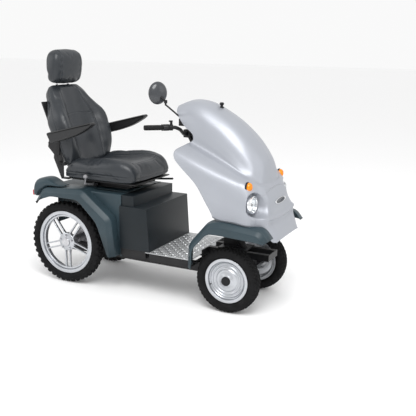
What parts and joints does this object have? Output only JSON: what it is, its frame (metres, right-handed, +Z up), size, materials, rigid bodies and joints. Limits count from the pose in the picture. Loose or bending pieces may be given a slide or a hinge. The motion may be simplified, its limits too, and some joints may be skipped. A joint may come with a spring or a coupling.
{
  "type": "mobility scooter",
  "caption": "Off-road mobility scooter with a steered front axle, driven rear wheels, swivelling reclining seat, and a silver hood with lamps.",
  "frame": {"origin": "on the ground below the middle of the scooter, at the bottom centre of its bounding box", "axes": "+X forward, +Y to the rider's left, +Z up"},
  "size_m": [1.765, 0.692, 1.541],
  "materials": {
    "frame_steel": "satin black powder coat",
    "axle_steel": "satin black",
    "bright_steel": "bright steel",
    "gearbox_cast": "cast, matt",
    "motor_paint": "satin black",
    "battery_case": "grey-black case",
    "tread_plate": "checker tread, bright",
    "sill_black": "satin black",
    "slate_plastic": "fine-textured slate grey",
    "silver_paint": "metallic silver",
    "black_plastic": "fine-textured black",
    "chrome_bowl": "mirror bright",
    "clear_lens": "clear, fluted",
    "amber_lens": "translucent amber",
    "red_lens": "translucent red",
    "badge_plate": "bright frame, dark blank field",
    "tyre_rubber": "black",
    "wheel_silver": "silver paint",
    "grip_rubber": "black",
    "seat_vinyl": "charcoal vinyl, stitched",
    "grey_knob": "grey"
  },
  "bodies": {
    "chassis": {"main_frame": "frame_steel", "seat_tower": "frame_steel", "front_subframe": "frame_steel", "gearbox": "gearbox_cast", "drive_motor": "motor_paint", "batteries": "battery_case", "motor_controller": "gearbox_cast", "footboard": "tread_plate", "footboard_sills": "sill_black", "battery_cover": "slate_plastic", "rear_mudguards": "slate_plastic", "tail_pods": "slate_plastic", "rear_deck": "slate_plastic", "tail_lamps": "red_lens", "front_mudguards": "slate_plastic", "hood": "silver_paint", "nose": "silver_paint", "headlamp_bowls": "chrome_bowl", "headlamp_lenses": "clear_lens", "indicator_lenses": "amber_lens", "badge": "badge_plate", "dash_panel": "black_plastic", "steering_jacket": "frame_steel", "mirror_stem": "black_plastic"},
    "front_axle": {"axle_beam": "axle_steel"},
    "knuckle_right": {"knuckle_right": "axle_steel"},
    "knuckle_left": {"knuckle_left": "axle_steel"},
    "track_rod": {"tie_rod": "bright_steel"},
    "steering": {"steering_shaft": "bright_steel", "handlebar": "black_plastic", "grips": "grip_rubber"},
    "throttle": {"throttle_lever": "black_plastic"},
    "mirror": {"mirror_head": "black_plastic"},
    "freewheel_lever": {"freewheel_lever": "grey_knob"},
    "wheel_rear_right": {"tyre_rear_right": "tyre_rubber", "rim_rear_right": "wheel_silver"},
    "wheel_rear_left": {"tyre_rear_left": "tyre_rubber", "rim_rear_left": "wheel_silver"},
    "wheel_front_right": {"tyre_front_right": "tyre_rubber", "rim_front_right": "wheel_silver"},
    "wheel_front_left": {"tyre_front_left": "tyre_rubber", "rim_front_left": "wheel_silver"},
    "seat_swivel": {"seat_swivel": "frame_steel"},
    "seat_carriage": {"seat_carriage": "frame_steel", "seat_cushion": "seat_vinyl"},
    "backrest": {"back_frame": "frame_steel", "back_pad": "seat_vinyl"},
    "headrest": {"headrest_posts": "bright_steel", "headrest_pad": "seat_vinyl"},
    "armrest_right": {"armrest_right": "black_plastic"},
    "armrest_left": {"armrest_left": "black_plastic"},
    "swivel_lever": {"swivel_lever": "grey_knob"},
    "slide_lever": {"slide_lever": "black_plastic"},
    "recline_lever": {"recline_lever": "black_plastic"},
    "key": {"key": "bright_steel"},
    "speed_dial": {"speed_dial": "black_plastic"},
    "horn_button": {"horn_button": "grey_knob"},
    "light_switch": {"light_switch": "grey_knob"},
    "hood_knob": {"hood_knob": "black_plastic"},
    "charge_cap": {"charge_cap": "black_plastic"}
  },
  "joints": [
    {"name": "front_axle_rock", "type": "hinge", "parent": "chassis", "child": "front_axle", "pos_m": [0.5905, 0, 0.204], "axis": [1, 0, 0], "range_deg": [-5, 5]},
    {"name": "steer", "type": "hinge", "parent": "chassis", "child": "steering", "pos_m": [0.18196, 0, 1.04565], "axis": [-0.5, 0, 0.866], "range_deg": [-11, 11]},
    {"name": "kingpin_right", "type": "hinge", "parent": "front_axle", "child": "knuckle_right", "pos_m": [0.5905, -0.178, 0.204], "axis": [0, 0, 1], "range_deg": [-22, 22]},
    {"name": "front_wheel_right", "type": "hinge", "parent": "knuckle_right", "child": "wheel_front_right", "pos_m": [0.5905, -0.237, 0.204], "axis": [0, 1, 0], "continuous": true},
    {"name": "rear_wheel_right", "type": "hinge", "parent": "chassis", "child": "wheel_rear_right", "pos_m": [-0.6025, -0.256, 0.28], "axis": [0, 1, 0], "continuous": true},
    {"name": "kingpin_left", "type": "hinge", "parent": "front_axle", "child": "knuckle_left", "pos_m": [0.5905, 0.178, 0.204], "axis": [0, 0, 1], "range_deg": [-22, 22]},
    {"name": "front_wheel_left", "type": "hinge", "parent": "knuckle_left", "child": "wheel_front_left", "pos_m": [0.5905, 0.237, 0.204], "axis": [0, 1, 0], "continuous": true},
    {"name": "rear_wheel_left", "type": "hinge", "parent": "chassis", "child": "wheel_rear_left", "pos_m": [-0.6025, 0.256, 0.28], "axis": [0, 1, 0], "continuous": true},
    {"name": "track_rod_swing", "type": "hinge", "parent": "knuckle_right", "child": "track_rod", "pos_m": [0.5605, -0.178, 0.235], "axis": [0, 0, 1], "range_deg": [-22, 22]},
    {"name": "throttle_turn", "type": "hinge", "parent": "steering", "child": "throttle", "pos_m": [0.16639, -0.19753, 1.09973], "axis": [-0.7916, -0.611, -0.0106], "range_deg": [-20, 20], "stiffness_Nm_per_rad": 0.3},
    {"name": "mirror_turn", "type": "hinge", "parent": "chassis", "child": "mirror", "pos_m": [0.1685, -0.27, 1.258], "axis": [0, 0, 1], "range_deg": [-20, 20]},
    {"name": "freewheel", "type": "hinge", "parent": "chassis", "child": "freewheel_lever", "pos_m": [-0.3205, 0, 0.336], "axis": [0, 1, 0], "range_deg": [-35, 0]},
    {"name": "seat_turn", "type": "hinge", "parent": "chassis", "child": "seat_swivel", "pos_m": [-0.3525, 0, 0.636], "axis": [0, 0, 1], "range_deg": [-90, 90]},
    {"name": "seat_slide", "type": "slide", "parent": "seat_swivel", "child": "seat_carriage", "axis": [1, 0, 0], "range_m": [-0.05, 0.07]},
    {"name": "backrest_fold", "type": "hinge", "parent": "seat_carriage", "child": "backrest", "pos_m": [-0.6675, 0, 0.885], "axis": [0, 1, 0], "range_deg": [-14, 30]},
    {"name": "headrest_lift", "type": "slide", "parent": "backrest", "child": "headrest", "axis": [0, 0, 1], "range_m": [0, 0.06]},
    {"name": "armrest_flip_right", "type": "hinge", "parent": "backrest", "child": "armrest_right", "pos_m": [-0.6545, -0.285, 0.985], "axis": [0, 1, 0], "range_deg": [-80, 0]},
    {"name": "armrest_flip_left", "type": "hinge", "parent": "backrest", "child": "armrest_left", "pos_m": [-0.6545, 0.285, 0.985], "axis": [0, 1, 0], "range_deg": [-80, 0]},
    {"name": "swivel_release", "type": "hinge", "parent": "seat_swivel", "child": "swivel_lever", "pos_m": [-0.4245, -0.168, 0.682], "axis": [1, 0, 0], "range_deg": [-5, 0], "stiffness_Nm_per_rad": 2, "springref_deg": 5.73},
    {"name": "slide_release", "type": "hinge", "parent": "seat_carriage", "child": "slide_lever", "pos_m": [-0.1755, 0.164, 0.682], "axis": [0, 1, 0], "range_deg": [-4, 0], "stiffness_Nm_per_rad": 2, "springref_deg": 4.58},
    {"name": "recline_release", "type": "hinge", "parent": "seat_carriage", "child": "recline_lever", "pos_m": [-0.6425, -0.258, 0.816], "axis": [0, 1, 0], "range_deg": [-25, 0], "stiffness_Nm_per_rad": 1, "springref_deg": 5.73},
    {"name": "key_turn", "type": "hinge", "parent": "chassis", "child": "key", "pos_m": [0.1917, -0.034, 1.1198], "axis": [-0.9888, 0, -0.1493], "range_deg": [0, 90]},
    {"name": "speed_dial_turn", "type": "hinge", "parent": "chassis", "child": "speed_dial", "pos_m": [0.1917, 0.034, 1.1198], "axis": [-0.9888, 0, -0.1493], "range_deg": [-140, 140]},
    {"name": "horn_press", "type": "slide", "parent": "chassis", "child": "horn_button", "axis": [0.9888, 0, 0.1493], "range_m": [0, 0.004], "stiffness_N_per_m": 400},
    {"name": "light_switch_flip", "type": "hinge", "parent": "chassis", "child": "light_switch", "pos_m": [0.18498, 0.034, 1.16432], "axis": [-0.9888, 0, -0.1493], "range_deg": [-90, 90]},
    {"name": "hood_knob_turn", "type": "hinge", "parent": "chassis", "child": "hood_knob", "pos_m": [0.4125, 0, 1.218], "axis": [0, 0, 1], "range_deg": [0, 90]},
    {"name": "charge_cap_lift", "type": "hinge", "parent": "chassis", "child": "charge_cap", "pos_m": [-0.1205, 0.2805, 0.56], "axis": [1, 0, 0], "range_deg": [0, 120]}
  ],
  "couplings": [
    {"joint": "kingpin_right", "follows": "steer", "ratio": 2},
    {"joint": "kingpin_left", "follows": "steer", "ratio": 2},
    {"joint": "track_rod_swing", "follows": "steer", "ratio": -2}
  ]
}
